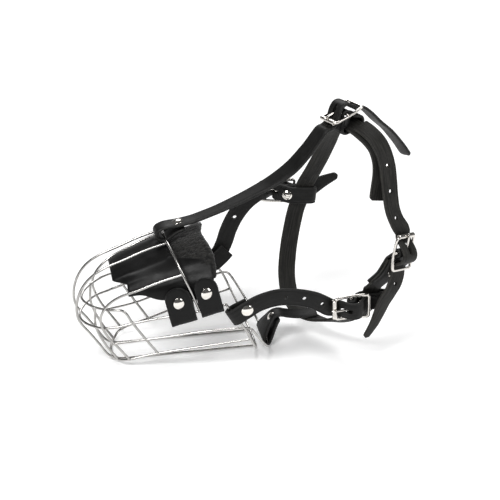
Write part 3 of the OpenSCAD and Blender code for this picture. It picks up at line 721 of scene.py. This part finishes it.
forehead = band("forehead_leather", forehead_rows, STRAP_LEATHER, tail=clipped)
cut(forehead, [crown.box(*TONGUE_SLOT)])
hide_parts("forehead_strap", "forehead_loop")
throat = band("throat_leather", THROAT, STRAP_LEATHER, thick=2.1, ripple=0.12)
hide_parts("throat_strap", "throat_loop")
collar = band("neck_leather", collar_rows, WORN_LEATHER, tail=clipped)
place(collar, "harness", "strap_leather", "neck_strap")
billet = band("billet_leather", billet_rows, WORN_LEATHER, tail=pointed(46, 0.36))
cut(billet, [neck.box(*TONGUE_SLOT)] + punched(billet_rows, BILLET_HOLES))
place(billet, "harness", "strap_leather", "neck_billet")
near_band = band("near_cheek_leather", near_rows, STRAP_LEATHER, tail=pointed(12, 0.6))
cut(near_band, [near.box(*TONGUE_SLOT)] + punched(near_rows, NEAR_HOLES))
place(near_band, "harness", "strap_leather", "near_cheek_strap")
far_band = band("far_cheek_leather", far_rows, STRAP_LEATHER, tail=pointed(26, 0.4))
cut(far_band, [far.box(*TONGUE_SLOT)] + punched(far_rows, FAR_HOLES))
place(far_band, "harness", "strap_leather", "far_cheek_strap")
for side, space in BUCKLES.items():
    path = [neck_bend(*p) for p in FOLDS[side]] if side == "neck" else FOLDS[side]
    keeper = band(side + "_keeper_leather", space.rows(path), STRAP_LEATHER, ripple=0)
    cut(keeper, [space.box(*KEEPER_SLOT)])
    sharpen(keeper)
    place(keeper, "harness", "strap_leather", side + "_keeper")
for obj in (forehead, throat, collar, billet, near_band, far_band):
    sharpen(obj)
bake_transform(forehead)
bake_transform(throat)


# ---- Buckles ----
FRAME_END_X = 15.8
ROLLER_X = -14.6
RAIL_Y = 10.5
RAIL_SIDES = 16
RAIL_HALF_OUT = 1.25
RAIL_HALF_UP = 1.1
FRAME_BOW = 1.2
END_CORNER = 2.2
ROLLER_CORNER = 3.6
ROLLER_SIDES = 36
ROLLER_HALF = 8.7
ROLLER_LIP = 0.3
PRONG_R = 0.95
PRONG_TIP_R = 0.6
PRONG_TIP_POINTS = 6
PRONG_STEP = 0.8


def squared_ring(space, loop):
    """A closed bar along a loop of this space, with a softened square section."""
    loop = np.array(loop, float)
    t = unit(np.roll(loop, -1, 0) - np.roll(loop, 1, 0))
    up = np.array([0, 0, 1.0])
    angle = np.linspace(0, 2 * math.pi, RAIL_SIDES, endpoint=False)
    c, s = np.cos(angle), np.sin(angle)
    fat = (np.abs(c) ** 3 + np.abs(s) ** 3) ** (-1 / 3)
    rings = []
    for p, d in zip(loop, t):
        out = unit(np.cross(d, up))
        rings.append(space.at(p + (fat * c * RAIL_HALF_OUT)[:, None] * out
                              + (fat * s * RAIL_HALF_UP)[:, None] * up))
    return np.concatenate(rings), [f[::-1] for f in quads(len(rings), RAIL_SIDES, closed=True)]


def corner(cx, cy, r, start):
    """A quarter circle about a centre, from a start angle in degrees."""
    turn = np.radians(np.linspace(start, start + 90, 7))
    return [(cx + r * math.cos(a), cy + r * math.sin(a)) for a in turn]


def frame_loop():
    """Rounded outline of a buckle frame, slimmer at the roller and bowed inward between its ends."""
    wide, slim = RAIL_Y, RAIL_Y - 0.7
    rail = (corner(FRAME_END_X - END_CORNER, wide - END_CORNER, END_CORNER, 0)
            + [(x, slim + (wide - slim) * (x + 11) / 22) for x in (9, 5, 1, -3, -7)]
            + corner(ROLLER_X + ROLLER_CORNER, slim - ROLLER_CORNER, ROLLER_CORNER, 90))
    other_rail = [(x, -y) for x, y in rail[::-1]]
    roller_bar = [(ROLLER_X, y) for y in (4, 0, -4)]
    end_bar = [(FRAME_END_X, y) for y in (-5, 0, 5)]
    flat = rail + roller_bar + other_rail + end_bar
    return [(x, y, -FRAME_BOW * max(0, 1 - (x / ROLLER_X) ** 2)) for x, y in flat]


def centre_bar(space):
    """The bar that the tongue turns on, from rail to rail."""
    half, edge, r = RAIL_Y - 0.4, 0.25, BAR_R
    profile = [(0, -half), (r * 0.8, -half), (r, -half + edge), (r, half - edge), (r * 0.8, half),
               (0, half)]
    return lathe(profile, space.centre, space.y, 28)


def roller_tube(space):
    """Rolled sheet tube on its bar."""
    outer, inner, half, lip = ROLLER_R, BAR_R + 0.15, ROLLER_HALF, ROLLER_LIP
    profile = [(inner, -half + lip), (inner + lip, -half), (outer - lip, -half), (outer, -half + lip),
               (outer, half - lip), (outer - lip, half), (inner + lip, half), (inner, half - lip)]
    centre = space.at((ROLLER_X, 0, 0))[0]
    around = circle(space.y, space.z, ROLLER_SIDES)
    rings = [centre + space.y * h + around * r for r, h in profile]
    return np.concatenate(rings), quads(len(rings), ROLLER_SIDES, closed=True)


def tongue_line():
    """A prong: wrapped round the centre bar, then straight to the roller, its tip bent down."""
    r = BAR_R + PRONG_R
    curl = [(r * math.cos(a), 0, r * math.sin(a)) for a in np.radians(np.arange(-130, 91, 20))]
    return curl + [(-3, 0, 2.5), (-7, 0, 2.95), (-11, 0, 3.2), (ROLLER_X, 0, 3.3), (-16.6, 0, 3.0),
                   (-17.6, 0, 2.5)]


for side, space in BUCKLES.items():
    bars = combine([squared_ring(space, frame_loop()), centre_bar(space)])
    rim = make_object(side + "_buckle_frame", *bars, BUCKLE)
    place(rim, "harness", "buckles", side + "_buckle")
    line = curve(tongue_line(), PRONG_STEP)
    count = len(line)
    thick = np.interp(np.arange(count), [0, count - PRONG_TIP_POINTS, count - 1],
                      [PRONG_R, PRONG_R, PRONG_TIP_R])
    verts, faces = tube(line, thick, 14)
    prong = make_object(side + "_prong", space.at(verts), faces, BUCKLE)
    place(prong, side + "_tongue", "buckles", side + "_tongue")
    roller = make_object(side + "_roller_tube", *roller_tube(space), BUCKLE)
    sharpen(roller)
    place(roller, side + "_roller", "buckles", side + "_roller")


# ---- Nose pad ----
# Each station: x at the top, x at the foot, half width, height of the foot and of the top, where x
# turns from the one to the other, as a share of the half width, and how round its shoulders are
PAD = [(-123, -111, 34, 62.4, 76, 0.6, 0.8), (-112, -100, 36, 64, 82, 0.6, 0.8),
       (-96, -86, 38.5, 60, 89, 0.6, 0.8), (-82, -66, 42, 60, 95, 0.6, 0.7),
       (-76, -41.4, 46.2, 61, 98, 0.56, 0.5)]
FELT_PAD = [(-119, -105, 31, 66, 73, 0.1, 0.8), (-100, -88, 35, 67, 84, 0.1, 0.8),
            (-80, -70, 38, 68, 91.5, 0.1, 0.8), (-64, -55, 39.5, 72, 98.6, 0.1, 0.8),
            (-46.4, -40, 41, 77, 103.6, 0.1, 0.8)]
PAD_STEP = 1.6
EDGE_TURNS = np.radians((40, 90, 140))


def smooth(k):
    """From 0 to 1 without a kink."""
    k = min(1, max(0, k))
    return k * k * (3 - 2 * k)


def arch_point(s, a, grow, turn):
    """A place on a station's arch; wide arches flare outward above the tabs."""
    c, up = abs(math.sin(a)), max(math.cos(a), 0)
    flare = 0.25 * max(0, s[2] - 34) * smooth((0.45 - up) / 0.25)
    return (s[0] + (s[1] - s[0]) * smooth((c - s[5]) / turn),
            -(s[2] + grow + flare) * math.sin(a) * (1.06 - 0.06 * c),
            s[3] + (s[4] + grow - s[3]) * up ** s[6])


def rolled_edge(start, end, out):
    """Places round a sheet's edge, from one face to the other."""
    middle = (start + end) / 2
    return [middle + (start - middle) * math.cos(b) + out * math.sin(b) for b in EDGE_TURNS]


def saddle(stations, thick, roll, turn, lumps, steps=84):
    """A sheet bent over the nose: outer face, rolled rear edge, inner face, rolled front edge.
    Its x turns from the top's to the foot's over a share of the half width."""
    path = curve(stations, PAD_STEP)
    rings = []
    for a in np.linspace(math.pi / 2, -math.pi / 2, steps):
        outer = np.array([arch_point(s, a, 0, turn) for s in path])
        inner = np.array([arch_point(s, a, -thick, turn) for s in path])
        back = rolled_edge(outer[-1], inner[-1], unit(outer[-1] - outer[-3]) * roll)
        front = rolled_edge(inner[0], outer[0], unit(outer[0] - outer[2]) * roll)
        rings.append(np.vstack([outer, back, inner[::-1], front]))
    verts = np.concatenate(rings)
    sides = len(rings[0])
    faces = quads(steps, sides)
    # Each foot is closed across its thickness, with a triangle at each rolled edge
    last = sides - 1 - len(EDGE_TURNS)
    for base, flip in ((0, True), ((steps - 1) * sides, False)):
        for j in range(-2, sides // 2 - 2):
            places = (j, j + 1, last - 1 - j, last - j)
            face = tuple(dict.fromkeys(base + i % sides for i in places))
            faces.append(face[::-1] if flip else face)
    return verts + np.array([lumps(Vector(v)) for v in verts]), faces


def waves(v):
    """Broad unevenness of a sheet."""
    return noise.noise_vector(v * 0.05) * 0.5


def tufts(v):
    """Waves with clumps and tufts of wool on them."""
    return waves(v) + noise.noise_vector(v * 0.42) * 0.55 + noise.noise_vector(v * 0.9) * 0.3


cover = make_object("pad_cover", *saddle(PAD, thick=2.0, roll=1.0, turn=0.22, lumps=waves), PAD_LEATHER)
place(cover, "basket", "pad_leather", "pad_leather")
felt_skin = saddle(FELT_PAD, thick=5.4, roll=3.2, turn=0.85, lumps=tufts, steps=150)
lining = make_object("pad_lining", *felt_skin, FELT)
place(lining, "basket", "felt", "pad_felt")

# ---- Tabs round the mouth wire ----
TAB_T = 2.2
TAB_ACROSS = (0.94, -0.16, 0.3)
# Place on the mouth wire, width, how far the fold hangs under the wire, and how far the tab rises
TABS = {
    "front": (np.array([-67, -46.2, 47.4]), 23, 4.5, 0),
    "rear": (np.array([-43, -50.3, 53]), 20, 1.5, 4),
}
# Steps from the wire: forward, outward and up, then the share of the drop and of the rise
TAB_STEPS = [(-4.4, 2.4, 15, 0, 1), (-2.5, 2.5, 9, 0, 0), (-0.6, 2.6, 2, 1, 0), (0.4, 2, -1.5, 1, 0),
             (0.7, 0, -3.2, 1, 0), (0.4, -2, -1.5, 1, 0), (-0.6, -2.6, 2, 1, 0),
             (-4, -2.8, 13, 0, 0.5), (-7.5, -1.4, 26, 0, 1)]
for name, (at, width, drop, rise) in TABS.items():
    rows = [(*(at + (x, y, z - drop * d + rise * u)), *TAB_ACROSS) for x, y, z, d, u in TAB_STEPS]
    mirrored = [(r[0], -r[1], r[2], -r[3], r[4], -r[5]) for r in rows]
    for side, side_rows in (("near", rows), ("far", mirrored)):
        tab = band(f"{name}_tab_{side}", turned_over(side_rows), PAD_LEATHER, width, TAB_T,
                   tail=rounded(width / 2), ripple=0.5)
        sharpen(tab)
        place(tab, "basket", "strap_leather", name + "_tabs")

# ---- Rivets ----
CAP = [(0, 2.3), (1.2, 2.24), (2.4, 2.02), (3.5, 1.62), (4.4, 1.08), (5.0, 0.55), (5.35, 0.34),
       (5.5, 0.16), (5.5, 0), (5.3, -0.12), (0, -0.12)]
# The back cap is smaller and flatter than the front cap
BACK_SHARE = 0.8
BACK_FLAT = 0.6
SHANK_R = 1.5


def rivet(centre, axis, grip, radius=RIVET_R):
    """Domed caps on both faces of a stack of leather as thick as the grip."""
    axis = unit(np.array(axis, float))
    k, half = radius / RIVET_R, grip / 2
    b = k * BACK_SHARE
    return combine([
        lathe([(r * k, half + h * k) for r, h in CAP[::-1]], centre, axis),
        lathe([(r * b, half + h * b * BACK_FLAT) for r, h in CAP[::-1]], centre, -axis),
        lathe([(0, -half), (SHANK_R, -half), (SHANK_R, half), (0, half)], centre, axis, 20),
    ])


tab_out = (0.173, -0.984, 0.035)
tab_places = [TABS["front"][0] + (-4.2, -0.4, 12.6), TABS["rear"][0] + (-5, -0.4, 16)]
near_out, far_out = (0, -1, 0.035), (0, 1, 0.035)
TAB_GRIP = 6.6
CHEEK_GRIP = 7.4


def fold_rivet(space, place_mm, lean, grip):
    """A rivet through a buckle's fold, its cap inward, tipped by a lean in degrees."""
    lean = math.radians(lean)
    axis = -math.sin(lean) * space.x - math.cos(lean) * space.z
    return rivet(space.at(place_mm)[0], axis, grip, 4.5)


RIVETS = {
    "tab_rivets": ("basket", [rivet(p, tab_out, TAB_GRIP) for p in tab_places]
                   + [rivet(p, *far_side([tab_out]), TAB_GRIP) for p in far_side(tab_places)]),
    "forehead_rivet": ("basket", [rivet((-63.4, 0, 109.6), (-0.2, 0, 0.98), 7.6, 5)]),
    "throat_rivet": ("basket", [rivet((21.2, -1, 10.4), (-0.81, 0, 0.59), 6.4, 4.5)]),
    "neck_rivet": ("harness", [rivet((107, -40.6, 167.4), (0.33, -0.82, 0.47), 5.6, 4)]),
    "cheek_rivets": ("harness", [rivet((-14, -55.2, 52.2), near_out, CHEEK_GRIP),
                                 rivet((-18.6, 55.2, 50.4), far_out, CHEEK_GRIP)]),
    "keeper_rivets": ("harness", [fold_rivet(near, (8.6, 0, -8.4), 22, 7.6),
                                  fold_rivet(far, (8.6, 0, -8.4), 22, 7.6),
                                  fold_rivet(neck, neck_bend(20, LAYER_Z), 12, 8.6)]),
}
for node, (body, shapes) in RIVETS.items():
    caps = make_object(node + "_caps", *combine(shapes), RIVET)
    sharpen(caps, 55)
    place(caps, body, "rivets", node)

# ---- Floor, light and camera: metres and watts ----
FLOOR_SIZE = 6
FLOOR_GLOW = 0.22
FLOOR_GAP = 0.0002
WORLD_GREY = 0.10


def floor_material():
    """White paper, lit a little from below, so that shadows stay faint."""
    material, _, shader = nodes_of("floor_white")
    shader.inputs["Base Color"].default_value = (0.93, 0.93, 0.93, 1)
    shader.inputs["Roughness"].default_value = 0.9
    shader.inputs["Emission Color"].default_value = (1, 1, 1, 1)
    shader.inputs["Emission Strength"].default_value = FLOOR_GLOW
    return material


floor_mesh = bpy.data.meshes.new("floor")
h = FLOOR_SIZE / 2
floor_mesh.from_pydata([(-h, -h, 0), (h, -h, 0), (h, h, 0), (-h, h, 0)], [], [(0, 1, 2, 3)])
floor_mesh.materials.append(floor_material())
floor = bpy.data.objects.new("floor", floor_mesh)
floor.location.z = cad_box[0][2] - FLOOR_GAP
bpy.context.scene.collection.objects.link(floor)


def area_light(name, place_m, target, size, watts):
    """A round light that faces a target."""
    light = bpy.data.lights.new(name, "AREA")
    light.shape = "DISK"
    light.size = size
    light.energy = watts
    obj = bpy.data.objects.new(name, light)
    obj.location = place_m
    obj.rotation_euler = (Vector(target) - Vector(place_m)).to_track_quat("-Z", "Y").to_euler()
    bpy.context.scene.collection.objects.link(obj)


middle = (cad_box[0] + cad_box[1]) / 2
area_light("key", (-0.9, -0.9, 1.7), middle, size=0.9, watts=30)
area_light("fill", (1.3, -0.8, 1.2), middle, size=1.0, watts=12)
area_light("back", (0.2, 1.4, 1.5), middle, size=1.2, watts=20)
world = bpy.data.worlds.new("studio")
world.use_nodes = True
backdrop = world.node_tree.nodes["Background"]
backdrop.inputs["Color"].default_value = (WORLD_GREY, WORLD_GREY, WORLD_GREY, 1)
backdrop.inputs["Strength"].default_value = 1.0
bpy.context.scene.world = world
bpy.context.scene.view_settings.view_transform = "Standard"

CAMERA_AZIMUTH = math.radians(-11.3)
CAMERA_ELEVATION = math.radians(25.8)
CAMERA_DISTANCE = 1.232
CAMERA_LENS = 100.8
CAMERA_SENSOR = 36
CAMERA_AIM = (0, 0, 80)
target = to_world(CAMERA_AIM)
back = Vector((math.sin(CAMERA_AZIMUTH) * math.cos(CAMERA_ELEVATION),
               -math.cos(CAMERA_AZIMUTH) * math.cos(CAMERA_ELEVATION), math.sin(CAMERA_ELEVATION)))
camera_data = bpy.data.cameras.new("camera")
camera_data.lens = CAMERA_LENS
camera_data.sensor_width = CAMERA_SENSOR
camera = bpy.data.objects.new("camera", camera_data)
camera.location = target + back * CAMERA_DISTANCE
camera.rotation_euler = (-back).to_track_quat("-Z", "Y").to_euler()
bpy.context.scene.collection.objects.link(camera)
bpy.context.scene.camera = camera
